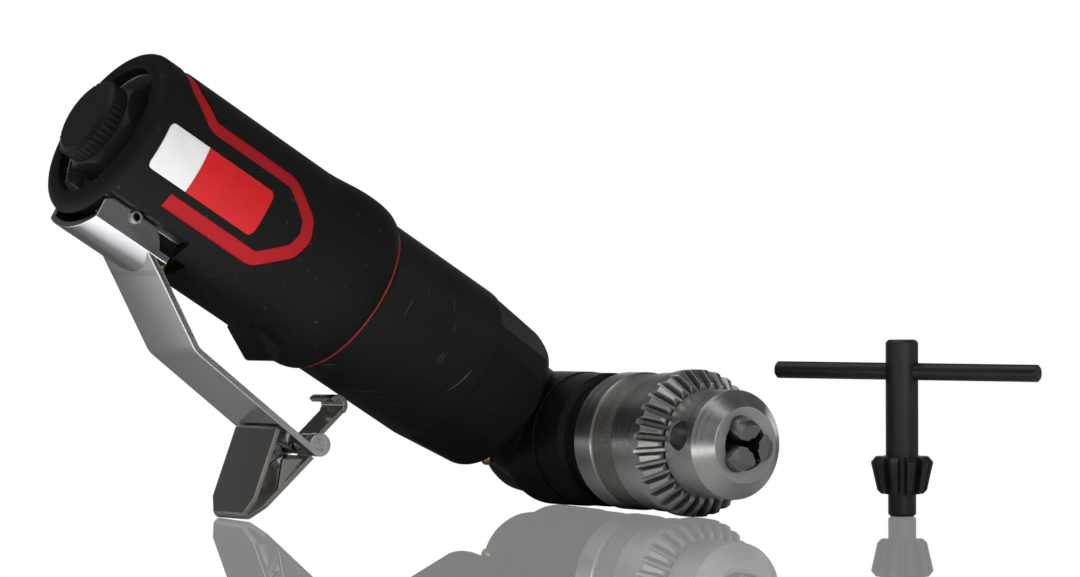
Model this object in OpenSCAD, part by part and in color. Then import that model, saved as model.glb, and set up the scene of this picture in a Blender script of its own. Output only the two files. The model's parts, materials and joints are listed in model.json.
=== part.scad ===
// Compact right-angle air drill with a keyed three-jaw chuck and its T-handled key.
// The drill lies as it is put down: on the head, the toothed chuck ring and the foot of the safety latch.
// Tool frame: +X along the handle to the rear, +Y along the spindle to the chuck's nose, lever at -Z.

/* [Grip] */
// Radius of the soft grip
grip_r = 20.3; // [19.8:0.1:21.5]
// Distance from the spindle axis to the grip's front edge
grip_front = 66.5; // [65:0.5:70]
// Distance from the spindle axis to the grip's rear rim
grip_rear = 136; // [135:0.5:142]
// Thickness of the grip over the motor housing
grip_wall = 3; // [2.6:0.1:3.4]
// Height of the lip at the grip's front over the grip
lip_rise = 1.1; // [0.4:0.1:1.6]
// Radius of the round at the grip's rear rim
rim_round = 3; // [1:0.25:4]
// Depth of the rear opening's wall below the motor housing's surface
rim_wall = 1.7; // [1.3:0.1:2.8]
// Width of the coloured inlay
inlay_w = 3.3; // [2:0.1:4]
// Depth of the inlay's channel in the grip
inlay_depth = 1; // [0.6:0.1:1.4]

/* [Front housing] */
// How far the front housing lies below the grip
front_step = 0.9; // [0.3:0.1:1.5]
// Distance from the spindle axis to the front housing's nose
front_x = 15.8; // [14.5:0.1:17]
// Distance from the spindle axis to the step behind the wrench flats
flat_x = 34.3; // [30:0.1:40]
// Depth of a wrench flat at its step
flat_depth = 1.6; // [0.8:0.1:2]
// How much the front housing narrows towards its nose
nose_taper = 1.6; // [0:0.1:2]
// Slope of the wrench flats towards the nose
flat_slope = 4; // [0:0.5:4.5]
// Turn of the wrench flats about the handle
flat_turn = -6; // [-30:1:30]

/* [Angle head] */
// How far the neck lies below the gear case
neck_step = 2.1; // [1.6:0.1:2.4]
// How far the spindle barrel stands out over the neck
barrel_step = 2.5; // [2:0.1:3]
// Distance from the handle axis to the barrel's front face
barrel_front = 15.4; // [15:0.1:17]
// How far the bearing cap lies below the barrel
cap_step = 0.2; // [0.1:0.1:1]
// Length of the bearing cap's wide part
cap_length = 10.4; // [9.5:0.1:12]
// How far the bearing cap's collar lies below the cap
collar_step = 1.7; // [1.3:0.1:3]
// Teeth of each bevel gear
bevel_teeth = 16; // [12:4:20]

/* [Chuck] */
// Distance from the handle axis to the chuck's rear face
chuck_rear = 31.5; // [30:0.1:34]
// Radius of the chuck sleeve
sleeve_r = 15.5; // [15.3:0.1:16]
// Depth of the band turned into the sleeve
band_depth = 0.45; // [0.2:0.05:0.6]
// Radius of the toothed ring
ring_r = 16.3; // [16:0.1:17]
// Teeth of the ring
ring_teeth = 30; // [24:1:34]
// Radius of the chuck's nose
nose_r = 12; // [11.6:0.1:12.6]
// Length of the chuck from its rear face to its front face
chuck_length = 43.9; // [43:0.1:46]
// Radius of the chuck's front face
face_r = 8.3; // [7.8:0.1:9]
// Radius of the key holes
key_hole_r = 3.3; // [3.2:0.1:3.5]
// Radius of a jaw
jaw_r = 2.9; // [2.6:0.1:3]
// Slope of a jaw against the chuck's axis
jaw_slope = 14; // [13:0.5:15]
// Radius of the bar that the jaws are closed on
jaw_opening = 1.6; // [1.4:0.1:2.2]
// How far the jaws stand out of the front face
jaw_reach = 3; // [1:0.5:4]
// Length of the jaws' gripping faces behind their tips
jaw_land = 2.8; // [1:0.1:2.8]

/* [Lever and latch] */
// Width of the lever
lever_w = 21; // [19:0.5:22]
// Thickness of the lever's sheet
lever_sheet = 1.4; // [1:0.1:1.6]
// Distance from the spindle axis to the lever's pin
pivot_x = 124; // [123:0.5:125]
// Depth of the lever's pin inside the motor housing's surface
pivot_depth = 1.7; // [1.5:0.1:2.2]
// Distance from the spindle axis to the lever's bend
bend_x = 96.4; // [92:0.2:100]
// Depth of the lever's bend below the grip
bend_below = 12.3; // [11:0.1:14]
// Distance from the spindle axis to the latch's hinge
hinge_x = 59; // [57:0.5:61]
// Depth of the latch's hinge below the grip
hinge_below = 14.8; // [14:0.1:16]
// Width of the latch
latch_w = 18; // [16:0.5:19]
// Thickness of the latch's sheet
latch_sheet = 1.1; // [0.8:0.1:1.3]
// Depth of the latch's fold below its hinge
foot_drop = 24.15; // [22:0.05:26]
// Gap between the latch's prop and the front housing
prop_gap = 1.8; // [1.7:0.1:2.4]
// Width of the latch's prop
prop_w = 8.4; // [7.4:0.2:9.4]
// Turns of the latch spring
spring_turns = 3; // [2:0.5:3]
// Diameter of the latch spring's wire
wire_d = 0.8; // [0.5:0.1:0.9]

/* [Inlet] */
// Width of the inlet bushing's hexagon across its flats
hex_w = 19; // [17:0.5:20]
// Radius of the inlet's bore
inlet_r = 5.7; // [5:0.1:6.2]
// Radius of the dust plug's head
plug_r = 9.4; // [8.5:0.1:10]
// Thickness of the dust plug's head
plug_head = 4.1; // [3:0.1:5]

/* [Chuck key] */
// Height of the chuck key
key_height = 39; // [36:0.5:45]
// Radius of the key's shank
key_r = 3.6; // [3.2:0.1:4.5]
// Radius of the key's pilot
pilot_r = 3.1; // [2.5:0.1:3.1]
// Length of the key's pilot
pilot_length = 5; // [4:0.25:6]
// Largest radius of the key's pinion
pinion_r = 6.9; // [6.5:0.1:7.5]
// Length of the key's cross bar
bar_length = 63; // [50:1:75]
// How far the cross bar is slid out of the middle
bar_slide = 1; // [-10:0.1:10]
// Radius of the key's cross bar
bar_r = 1.9; // [1.6:0.1:2.1]

/* [Fits] */
// Radial clearance of turning and sliding fits
run = 0.05; // [0.03:0.01:0.08]
// Radial clearance of pieces pressed or screwed together
seat = 0.02; // [0.01:0.01:0.04]
// Free gap between pieces that pass each other
gap = 0.4; // [0.3:0.05:0.5]

/* [Placing] */
// Place of the spindle axis along X, from the middle of the footprint
stand_x = 34.73; // [-60:0.01:60]
// Place of the handle axis along Y, from the middle of the footprint
stand_y = 44.55; // [-60:0.01:60]
// Place of the chuck key along X, from the spindle axis
key_x = 39.4; // [30:0.1:80]
// Place of the chuck key along Y, from the handle axis
key_y = -81.1; // [-120:0.1:-60]
// Turn of the key's cross bar
key_turn = -62; // [-90:1:90]

/* [Hidden] */
$fn = 64;
cut = 1;

// Handle, from the grip inwards
housing_r = grip_r - grip_wall;
motor_r = housing_r - 3.2;
housing_front = grip_front - 16;
housing_rear = grip_rear - 3;
recess_x = grip_rear - 10;
trim_w = 0.5;
front_r = grip_r - front_step;
trim_r = front_r + 0.12;
opening_r = housing_r - rim_wall;
lip_x = grip_front + 7;
lip_end = grip_front + 20;
flank_steps = 8;

// Front housing and gear case
collar_x = front_x + 10;
flange_w = 3.5;
gear_case_r = housing_r - 2.3;
gear_front = collar_x + flange_w + seat;
nose_round = 4;
flat_half = front_r - flat_depth;
neck_r = gear_case_r - neck_step;
barrel_r = neck_r + barrel_step;
cap_r = barrel_r - cap_step;
collar_r = cap_r - collar_step;

// Motor
plate_w = 5;
liner_front = housing_front + plate_w;
liner_rear = liner_front + 37.5;
motor_rear = liner_rear + plate_w;
rotor_r = 0.717 * motor_r;
liner_offset = 0.092 * motor_r;
port_r = 1.6;
port_spacing = 8;
vane_count = 5;
vane_w = 1.6;
vane_depth = 0.5 * rotor_r;
shaft_r = 0.337 * rotor_r;
bearing_r = 0.79 * rotor_r;
bearing_w = 3.5;

// Planetary gears: the rotor's pinion, three planets and a fixed ring
sun_teeth = 12;
planet_teeth = 15;
ring_gear_teeth = sun_teeth + 2 * planet_teeth;
module_size = 2 * 0.91 * gear_case_r / ring_gear_teeth;
planet_count = 3;
planet_orbit = (sun_teeth + planet_teeth) * module_size / 2;
gear_x = gear_front + 4.6;
gear_w = 9;
pin_r = 2.3 * module_size;
carrier_r = planet_orbit + 4 * module_size;
carrier_w = 3;
tooth_share = 0.36;
tooth_top = 0.77 * module_size;
tooth_root = 1.23 * module_size;

// Bevel pair, with its cone tips on the crossing of the axes
head_wall = 3;
cavity_r = neck_r - head_wall;
bevel_r = cavity_r - gap;
bevel_top = 0.084 * bevel_r;
bevel_foot = 0.12 * bevel_r;
bevel_large = (bevel_r - bevel_top * cos(45)) / sin(45);
bevel_small = 0.667 * bevel_large;
bevel_pitch = 2 * PI * bevel_small * sin(45) / bevel_teeth;
bevel_bore = 0.53 * bevel_r;
bevel_back = bevel_large * cos(45) + 3.2;
drive_r = 0.53 * bevel_r;
drive_bearing_r = cavity_r - 0.9;
drive_bearing_w = 6;
drive_bearing_x = bevel_back + 1.2;

// Spindle and its bearings
back_y = -bevel_small - 4.8;
bush_r = 0.63 * bevel_r;
journal_r = 0.42 * bevel_r;
cap_front = barrel_front + cap_length;
collar_front = chuck_rear - gap;
spindle_r = 0.63 * bevel_r;
spindle_bearing_r = cap_r - 4.3;
spindle_bearing_w = 7;
spindle_bearing_y = bevel_back + 0.8;
flange_r = spindle_r + 1.5;
stub_r = 4.7;
stub_front = chuck_rear + 15.5;
spigot_r = barrel_r - 3.2;
spigot_y = barrel_front - 3;

// Chuck, along the spindle
band_rear = chuck_rear + 6.6;
band_front = band_rear + 8.2;
tooth_rear = chuck_rear + 22.8;
tooth_start = tooth_rear + 3.8;
tooth_end = tooth_start + 3.2;
tooth_end_r = ring_r - 3;
tooth_depth = 1.35;
nose_rear = tooth_end + gap;
chuck_face = chuck_rear + chuck_length;
nose_front = chuck_face - (nose_r - face_r);
body_r = nose_r - 1;
mouth_r = 5;
key_hole_y = (nose_rear + nose_front) / 2;
key_hole_turn = -20;
key_hole_bottom = 6.9;
jaw_tip = chuck_face + jaw_reach;
jaw_tip_offset = jaw_opening + 1.3;
jaw_length = 26.4;
jaw_rear = jaw_tip - jaw_length;
jaw_pitch = 1.27;
open_turns = 9;
close_turns = 2;
open_shift = open_turns * jaw_pitch * sin(jaw_slope);
close_shift = close_turns * jaw_pitch * sin(jaw_slope);
wedge_tip = close_shift + 0.25;
cavity_sleeve_r = sleeve_r - band_depth - 0.75;
jaw_trim_r = cavity_sleeve_r - open_shift - 0.3;
nut_w = 4.6;
nut_rear = chuck_rear + 20.9;
nut_r = cavity_sleeve_r - 0.7;
lip_rear = nut_rear + nut_w + 1.2;
cavity_rear = chuck_rear + 7.2;

// Lever, latch and throttle
pivot_drop = housing_r - pivot_depth;
bend_drop = grip_r + bend_below;
hinge_drop = grip_r + hinge_below;
prop_rise = hinge_drop - front_r - prop_gap;
trough_r = grip_r + 1.3;
trough_front = pivot_x - 11.5;
trough_rear = pivot_x + 8.4;
ear_in = lever_w / 2 - lever_sheet;
slope_top = trough_r + lever_sheet / 2;
pivot_r = 1.5;
pivot_half = lever_w / 2 + 0.6;
curl_r = 2.6;
hinge_r = 1.25;
knuckle_in = 3.2;
knuckle_out = 7.4;
relief_r = housing_r + 0.95;
notch_drop = pivot_drop - 1;
slot_top = pivot_drop - 4.6;
plunger_x = pivot_x - 15.5;
plunger_r = 2;
valve_low = housing_r - 3.1;
valve_high = 4.4;
throttle_low = valve_low - 2.6;
plunger_top = throttle_low - 3.6;
plunger_guard = 0.08;
slope_angle = atan2(bend_drop - slope_top, trough_front + 1 - bend_x);
pad_front = grip_front + 9.3;
pad_length = 8.7;
pad_drop = grip_r + 3.4;
pad_half = 6;

// Inlet
bush_front = recess_x - 12;
bush_flange = 3;
bush_thread_r = 8;
hex_rear = grip_rear + 1;
hex_turn = 35;
plug_stem = 8;

// Chuck key
pinion_foot_r = pinion_r - 1.4;
pinion_top = pilot_length + 8.2;
bar_z = key_height - 7;
key_teeth = 11;

// How the drill lies: tangent to the barrel, the toothed ring and the latch's foot
barrel_y = 2.3;
fold_r = 0.75;
tab_points = [
    [hinge_x - 0.7, -hinge_drop - 1.7],
    [hinge_x + 6.6, -hinge_drop - foot_drop],
    [hinge_x + 10.3, -hinge_drop - 1.9]
];
foot = corner_centre(tab_points[0], tab_points[1], tab_points[2], fold_r);
foot_half = latch_w / 2 - 2.2;
foot_contact = foot_half - 0.94;
chuck_lift = atan2(ring_r - barrel_r, tooth_rear + 0.4 - barrel_y);
axis_height = barrel_r * cos(chuck_lift) - barrel_y * sin(chuck_lift);
foot_height = fold_r + latch_sheet / 2 + foot_contact * sin(chuck_lift);
handle_rise = atan2(-foot[1], foot[0]) - asin((axis_height - foot_height) / norm(foot));
lay_roll = asin(sin(chuck_lift) / cos(handle_rise));

// Placing

module lay() {
    translate([stand_x, stand_y, axis_height])
        rotate([0, handle_rise, 0])
            rotate([0, 0, 180])
                rotate([lay_roll, 0, 0])
                    children();
}

module stand_key() {
    translate([stand_x + key_x, stand_y + key_y, 0])
        rotate([0, 0, key_turn])
            children();
}

// Basic forms: profiles are lists of [place along the axis, radius]

module about_x(profile) {
    rotate([0, 90, 0])
        rotate_extrude()
            polygon([for (p = profile) [p[1], p[0]]]);
}

module about_y(profile) {
    rotate([-90, 0, 0])
        rotate_extrude()
            polygon([for (p = profile) [p[1], p[0]]]);
}

module about_z(profile) {
    rotate_extrude()
        polygon([for (p = profile) [p[1], p[0]]]);
}

module rod_x(from, to, r) {
    translate([from, 0, 0])
        rotate([0, 90, 0])
            cylinder(r = r, h = to - from);
}

module rod_y(from, to, r) {
    translate([0, from, 0])
        rotate([-90, 0, 0])
            cylinder(r = r, h = to - from);
}

module rod_z(from, to, r) {
    translate([0, 0, from])
        cylinder(r = r, h = to - from);
}

module tube_x(from, to, outer, inner) {
    difference() {
        rod_x(from, to, outer);
        rod_x(from - cut, to + cut, inner);
    }
}

module tube_y(from, to, outer, inner) {
    difference() {
        rod_y(from, to, outer);
        rod_y(from - cut, to + cut, inner);
    }
}

// A flat shape in X and Z, extruded along Y
module slab(from, to) {
    translate([0, to, 0])
        rotate([90, 0, 0])
            linear_extrude(to - from)
                children();
}

module both_sides() {
    children();
    mirror([0, 1, 0])
        children();
}

// Paths of bent sheet: corners become arcs, and the path gets a thickness

function unit(v) = v / norm(v);
function turned(v, a) = [v[0] * cos(a) - v[1] * sin(a), v[0] * sin(a) + v[1] * cos(a)];
function polar(r, a) = [r * cos(a), r * sin(a)];
function arc(centre, r, from, to, steps) =
    [for (i = [0:steps]) centre + polar(r, from + (to - from) * i / steps)];
function half_angle(a, b, c) = acos(unit(a - b) * unit(c - b)) / 2;
function corner_centre(a, b, c, r) =
    b + unit(unit(a - b) + unit(c - b)) * r / sin(half_angle(a, b, c));
function corner(a, b, c, r, steps) =
    let (
        u = unit(a - b),
        v = unit(c - b),
        half = half_angle(a, b, c),
        side = sign(u[1] * v[0] - u[0] * v[1]),
        centre = corner_centre(a, b, c, r),
        start = b + u * r / tan(half)
    )
    [for (i = [0:steps]) centre + turned(start - centre, side * (180 - 2 * half) * i / steps)];
function rounded(points, r, steps = 5) =
    concat(
        [points[0]],
        [for (i = [1:len(points) - 2]) each corner(points[i - 1], points[i], points[i + 1], r, steps)],
        [points[len(points) - 1]]
    );
function across(path, i) =
    let (
        before = unit(path[max(i, 1)] - path[max(i, 1) - 1]),
        after = unit(path[min(i + 1, len(path) - 1)] - path[min(i, len(path) - 2)]),
        middle = unit(before + after),
        normal = [-middle[1], middle[0]]
    )
    normal / (middle * before);
function band(path, t) =
    concat(
        [for (i = [0:len(path) - 1]) path[i] + across(path, i) * t / 2],
        [for (i = [len(path) - 1:-1:0]) path[i] - across(path, i) * t / 2]
    );

// A round wire swept along points, as one closed body

function least_gap(points, d, apart) =
    min([
        for (i = [0:len(points) - 1])
            for (j = [i + apart:1:len(points) - 1]) norm(points[i] - points[j]) - d
    ]);

module wire(points, d, sides = 6) {
    last = len(points) - 1;
    rings = [
        for (i = [0:last])
            let (
                dir = unit(points[min(i + 1, last)] - points[max(i - 1, 0)]),
                helper = abs(dir[2]) < 0.8 ? [0, 0, 1] : [1, 0, 0],
                u = unit(cross(helper, dir)),
                v = cross(dir, u)
            )
            for (k = [0:sides - 1])
                points[i] + d / 2 * (u * cos(360 * k / sides) + v * sin(360 * k / sides))
    ];
    walls = [
        for (i = [0:last - 1])
            for (k = [0:sides - 1])
                let (
                    a = i * sides + k,
                    b = i * sides + (k + 1) % sides
                )
                each [[a, a + sides, b], [b, a + sides, b + sides]]
    ];
    first_cap = [for (k = [1:sides - 2]) [0, k, k + 1]];
    last_cap = [for (k = [1:sides - 2]) [last * sides, last * sides + k + 1, last * sides + k]];
    polyhedron(rings, concat(walls, first_cap, last_cap));
}

// Straight-sided gear teeth with play, a tooth on the X axis

function gear(teeth, size, width, top, root) =
    let (
        pitch_r = teeth * size / 2,
        slant = tan(18)
    )
    [
        for (i = [0:teeth - 1])
            let (
                a = 360 * i / teeth,
                tip = atan((width / 2 - top * slant) / (pitch_r + top)),
                foot = atan((width / 2 + root * slant) / (pitch_r - root))
            )
            each [
                polar(pitch_r - root, a - foot),
                polar(pitch_r + top, a - tip),
                polar(pitch_r + top, a + tip),
                polar(pitch_r - root, a + foot)
            ]
    ];

module gear_x(from, to, teeth, width, top, root) {
    translate([from, 0, 0])
        rotate([0, 90, 0])
            linear_extrude(to - from)
                polygon(gear(teeth, module_size, width, top, root));
}

pitch = PI * module_size;

// A miter gear about Z with its cone tip at the origin
module bevel(teeth, bore) {
    pitch_line = [sin(45), cos(45)];
    inward = [-cos(45), sin(45)];
    small = bevel_small * pitch_line + bevel_foot * inward;
    large = bevel_large * pitch_line + bevel_foot * inward;
    difference() {
        union() {
            about_z([
                [small[1], 0],
                [small[1], small[0]],
                [large[1], large[0]],
                [bevel_back - 1, large[0]],
                [bevel_back, large[0] - 1],
                [bevel_back, 0]
            ]);
            for (i = [0:teeth - 1])
                rotate([0, 0, 360 * i / teeth])
                    rotate([0, 45, 0])
                        translate([0, 0, bevel_small])
                            linear_extrude(bevel_large - bevel_small)
                                polygon([
                                    [-bevel_foot - 0.4, -0.32 * bevel_pitch],
                                    [bevel_top, -0.14 * bevel_pitch],
                                    [bevel_top, 0.14 * bevel_pitch],
                                    [-bevel_foot - 0.4, 0.32 * bevel_pitch]
                                ]);
        }
        rod_z(-cut, bevel_back + cut, bore);
    }
}

// Grip

function lip_r(x) =
    x > lip_x
        ? grip_r + lip_rise * (1 + cos(180 * (x - lip_x) / (lip_end - lip_x))) / 2
        : front_r + (grip_r + lip_rise - front_r)
            * sqrt(1 - pow((lip_x - x) / (lip_x - grip_front), 2.6));

inlay_middle = -0.9;
inlay_half = 9.7;
inlay_path = rounded([
    [grip_rear - 13.4, inlay_middle - inlay_half],
    [grip_rear - 38.2, inlay_middle - inlay_half],
    [grip_rear - 44.6, inlay_middle - 4],
    [grip_rear - 45.8, inlay_middle],
    [grip_rear - 44.6, inlay_middle + 4],
    [grip_rear - 38.2, inlay_middle + inlay_half],
    [grip_rear - 15.2, inlay_middle + inlay_half],
    [grip_rear - 9.6, inlay_middle + 15.4],
    [grip_rear - 7.2, grip_r + 2]
], 3.2);

module inlay_stroke(width) {
    slab(-2 * grip_r, 2 * grip_r)
        polygon(band(inlay_path, width));
}

// The notches that the lever's ears turn in, and the relief over its trough
module lever_room() {
    both_sides() {
        translate([trough_front - 1.2, ear_in - gap, -2 * grip_r])
            cube([trough_rear - trough_front + 2.4, grip_r, 2 * grip_r - notch_drop]);
        translate([trough_front - 1.2, ear_in - gap, -2 * grip_r])
            cube([trough_rear - trough_front + 2.4, lever_sheet + gap + 1.2, 2 * grip_r - slot_top]);
    }
}

module lever_relief() {
    difference() {
        translate([trough_front - 5, -ear_in, -2 * grip_r])
            cube([trough_rear - trough_front + 6.2, 2 * ear_in, 2 * grip_r - notch_drop]);
        rod_x(0, 2 * grip_rear, relief_r);
    }
}

module grip() {
    color("#1b1b1d")
        lay()
            difference() {
                union() {
                    about_x(concat(
                        [[grip_front, housing_r + seat]],
                        [for (i = [0:flank_steps])
                            let (x = grip_front + (lip_x - grip_front) * i / flank_steps) [x, lip_r(x)]],
                        [for (i = [1:flank_steps])
                            let (x = lip_x + (lip_end - lip_x) * i / flank_steps) [x, lip_r(x)]],
                        arc([grip_rear - rim_round, grip_r - rim_round], rim_round, 90, 0, 6),
                        [
                            [grip_rear, opening_r + 0.6],
                            [grip_rear - 0.6, opening_r],
                            [housing_rear + seat, opening_r],
                            [housing_rear + seat, housing_r + seat]
                        ]
                    ));
                    grip_pad();
                }
                rod_x(grip_front - cut, housing_rear + seat, housing_r + seat);
                difference() {
                    inlay_stroke(inlay_w);
                    rod_x(0, 2 * grip_rear, grip_r - inlay_depth);
                }
                lever_room();
                lever_relief();
                translate([pivot_x, 0, -pivot_drop])
                    rod_y(-grip_r, grip_r, pivot_r + seat);
                translate([plunger_x, 0, 0])
                    rod_z(-2 * grip_r, 0, plunger_r + gap);
            }
}

// The bump under the grip that the lever stops on
module grip_pad() {
    slab(-pad_half, pad_half)
        polygon([
            [pad_front, -housing_r - 1],
            [pad_front, 0.4 - pad_drop],
            [pad_front + 0.4, -pad_drop],
            [pad_front + 1.2, -pad_drop],
            [pad_front + pad_length, -grip_r + 0.4],
            [pad_front + pad_length, -housing_r - 1]
        ]);
}

module grip_inlay() {
    color("#a11218")
        lay()
            difference() {
                intersection() {
                    inlay_stroke(inlay_w - 2 * seat);
                    tube_x(grip_front, grip_rear, grip_r - 0.3, grip_r - inlay_depth + seat);
                }
                lever_room();
            }
}

module trim_ring() {
    color("#8c1a14")
        lay()
            tube_x(grip_front - trim_w, grip_front, trim_r, housing_r + seat);
}

// Motor housing, with the valve block and the inlet's thread in its rear

module motor_housing() {
    color("#7d8084")
        lay()
            difference() {
                rod_x(housing_front, housing_rear, housing_r);
                rod_x(housing_front - cut, motor_rear + seat, motor_r + seat);
                rod_x(recess_x, housing_rear + cut, opening_r);
                rod_x(bush_front, recess_x + cut, bush_thread_r + seat);
                rod_x(plunger_x, bush_front + cut, plunger_r);
                translate([plunger_x, 0, 0]) {
                    rod_z(-2 * grip_r, plunger_r + 2, plunger_r + run);
                    rod_z(-valve_low, -valve_high, plunger_r + 1.2);
                }
                lever_room();
                translate([pivot_x, 0, -pivot_drop])
                    rod_y(-grip_r, grip_r, pivot_r + seat);
            }
}

// Front housing: a clamp nut with six tapered wrench flats

module front_housing() {
    color("#202022")
        lay()
            difference() {
                about_x(concat(
                    [[front_x, neck_r + seat]],
                    arc([front_x + nose_round, front_r - nose_taper - nose_round], nose_round, 180, 90, 8),
                    [
                        [flat_x + 1, front_r],
                        [grip_front - trim_w - 0.5, front_r],
                        [grip_front - trim_w, front_r - 0.5],
                        [grip_front - trim_w, housing_r + seat],
                        [housing_front, housing_r + seat],
                        [housing_front, gear_case_r + seat],
                        [collar_x, gear_case_r + seat],
                        [collar_x, neck_r + seat]
                    ]
                ));
                for (i = [0:5])
                    rotate([flat_turn + 60 * i, 0, 0])
                        translate([flat_x, flat_half, 0])
                            rotate([0, 0, flat_slope])
                                translate([-2 * front_r, 0, -front_r])
                                    cube([2 * front_r, front_r, 2 * front_r]);
            }
}

// Angle head

module head_housing() {
    color("#161617")
        lay()
            difference() {
                union() {
                    about_x([
                        [0, 0],
                        [0, neck_r],
                        [collar_x, neck_r],
                        [collar_x, gear_case_r - gap],
                        [collar_x + flange_w, gear_case_r - gap],
                        [collar_x + flange_w, 0]
                    ]);
                    about_y(concat(
                        [[back_y, 0]],
                        arc([back_y + 5, neck_r - 5], 5, 180, 90, 6),
                        [
                            [barrel_y - 0.8, neck_r],
                            [barrel_y - 0.8, barrel_r - 0.8],
                            [barrel_y, barrel_r],
                            [barrel_front, barrel_r],
                            [barrel_front, 0]
                        ]
                    ));
                }
                rod_y(-bevel_small + 1.4, barrel_front + cut, cavity_r);
                rod_y(spigot_y, barrel_front + cut, spigot_r + seat);
                rod_y(back_y + 2, 0, bush_r + seat);
                rod_x(0, drive_bearing_x, cavity_r);
                rod_x(0, collar_x + flange_w + cut, drive_bearing_r + seat);
                translate([nipple_x, 0, 0])
                    rod_z(-neck_r - cut, 0, nipple_r + seat);
            }
}

nipple_x = front_x - 2.8;
nipple_r = 1.4;

module grease_nipple() {
    color("#c79a3c")
        lay()
            translate([nipple_x, 0, 0])
                mirror([0, 0, 1])
                    about_z([
                        [drive_bearing_r + 1.2, 0],
                        [drive_bearing_r + 1.2, nipple_r],
                        [neck_r + 0.5, nipple_r],
                        [neck_r + 1.1, nipple_r - 0.3],
                        [neck_r + 1.5, nipple_r - 0.8],
                        [neck_r + 1.6, 0]
                    ]);
}

module bearing_cap() {
    color("#1a1a1b")
        lay()
            difference() {
                about_y([
                    [spigot_y + seat, 0],
                    [spigot_y + seat, spigot_r],
                    [barrel_front, spigot_r],
                    [barrel_front, cap_r - 0.5],
                    [barrel_front + 0.5, cap_r],
                    [cap_front - 1.2, cap_r],
                    [cap_front, cap_r - 1.2],
                    [cap_front, collar_r],
                    [collar_front - 0.6, collar_r],
                    [collar_front, collar_r - 0.6],
                    [collar_front, 0]
                ]);
                rod_y(0, spindle_bearing_y + spindle_bearing_w, spindle_bearing_r + seat);
                rod_y(0, collar_front + cut, flange_r + gap);
            }
}

// Bevel pair, drive shaft and planetary gears

module bevel_gear() {
    color("#8f9296")
        lay()
            rotate([-90, 0, 0])
                rotate([0, 0, 180 / bevel_teeth])
                    bevel(bevel_teeth, bevel_bore + seat);
}

module bevel_pinion() {
    color("#8f9296")
        lay()
            union() {
                rotate([0, 90, 0])
                    bevel(bevel_teeth, drive_r - cut);
                rod_x(bevel_small * cos(45) + 1.2, gear_front + 1, drive_r);
                rod_x(gear_front, gear_front + 1 + carrier_w, drive_r - 1);
            }
}

module pinion_bearings() {
    color("#b9bcc0")
        lay()
            for (x = [drive_bearing_x + seat, gear_front - drive_bearing_w - 0.5])
                tube_x(x, x + drive_bearing_w, drive_bearing_r, drive_r + run);
}

module planet_carrier() {
    color("#85888c")
        lay()
            difference() {
                tube_x(gear_front + 1, gear_front + 1 + carrier_w, carrier_r, drive_r - 1 + seat);
                at_planets()
                    rod_x(gear_front, gear_front + 2 + carrier_w, pin_r + seat);
            }
}

module at_planets() {
    for (i = [0:planet_count - 1])
        at_planet(i)
            children();
}

module at_planet(i) {
    rotate([360 / planet_count * i, 0, 0])
        translate([0, 0, -planet_orbit])
            children();
}

module planet_pins() {
    color("#c3c6ca")
        lay()
            at_planets()
                rod_x(gear_front + 1, gear_x + gear_w + 0.6, pin_r);
}

module planet_gear(i) {
    color("#9a9da1")
        lay()
            at_planet(i)
                difference() {
                    rotate([180 + 180 / planet_teeth, 0, 0])
                        gear_x(gear_x, gear_x + gear_w, planet_teeth, tooth_share * pitch, tooth_top, tooth_root);
                    rod_x(gear_x - cut, gear_x + gear_w + cut, pin_r + run);
                }
}

module ring_gear() {
    color("#6f7276")
        lay()
            difference() {
                rod_x(gear_front, housing_front - seat, gear_case_r);
                gear_x(gear_front - cut, housing_front + cut, ring_gear_teeth,
                    (1 - tooth_share) * pitch, tooth_root, tooth_top);
                rod_x(gear_x + gear_w + 1, housing_front + cut, gear_case_r - 1.2);
                rod_x(gear_front - cut, gear_x - 0.4, gear_case_r - 1.2);
            }
}

// Vane motor

module rotor() {
    color("#a5a8ac")
        lay()
            union() {
                difference() {
                    rod_x(liner_front + 0.2, liner_rear - 0.2, rotor_r);
                    at_vanes()
                        translate([liner_front, -vane_w / 2 - run, rotor_r - vane_depth])
                            cube([liner_rear - liner_front, vane_w + 2 * run, vane_depth + cut]);
                }
                rod_x(gear_x + gear_w, motor_rear - 1, shaft_r);
                gear_x(gear_x - 0.4, gear_x + gear_w + 0.1, sun_teeth, tooth_share * pitch, tooth_top, tooth_root);
            }
}

module at_vanes() {
    for (i = [0:vane_count - 1])
        rotate([360 / vane_count * i, 0, 0])
            children();
}

module vanes() {
    color("#5b3a22")
        lay()
            at_vanes()
                translate([liner_front + 0.3, -vane_w / 2, rotor_r - vane_depth])
                    cube([liner_rear - liner_front - 0.6, vane_w, vane_depth - 0.1]);
}

module cylinder_liner() {
    color("#8a8d90")
        lay()
            difference() {
                rod_x(liner_front, liner_rear, motor_r);
                translate([0, 0, liner_offset])
                    rod_x(liner_front - cut, liner_rear + cut, rotor_r + liner_offset + run);
                for (a = [-25, 25])
                    for (x = [-port_spacing, port_spacing])
                        rotate([a, 0, 0])
                            translate([(liner_front + liner_rear) / 2 + x, 0, 0])
                                rod_z(-motor_r - cut, 0, port_r);
            }
}

module end_plate(from, bearing_from) {
    difference() {
        rod_x(from, from + plate_w, motor_r);
        rod_x(from - cut, from + plate_w + cut, shaft_r + gap);
        rod_x(bearing_from, bearing_from + bearing_w, bearing_r + seat);
    }
}

module front_end_plate() {
    color("#9b9ea2")
        lay()
            difference() {
                end_plate(housing_front, housing_front);
                rod_x(housing_front - cut, housing_front + bearing_w, bearing_r + seat);
            }
}

module rear_end_plate() {
    color("#9b9ea2")
        lay()
            difference() {
                end_plate(liner_rear, motor_rear - bearing_w);
                rod_x(motor_rear - bearing_w, motor_rear + cut, bearing_r + seat);
            }
}

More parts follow.
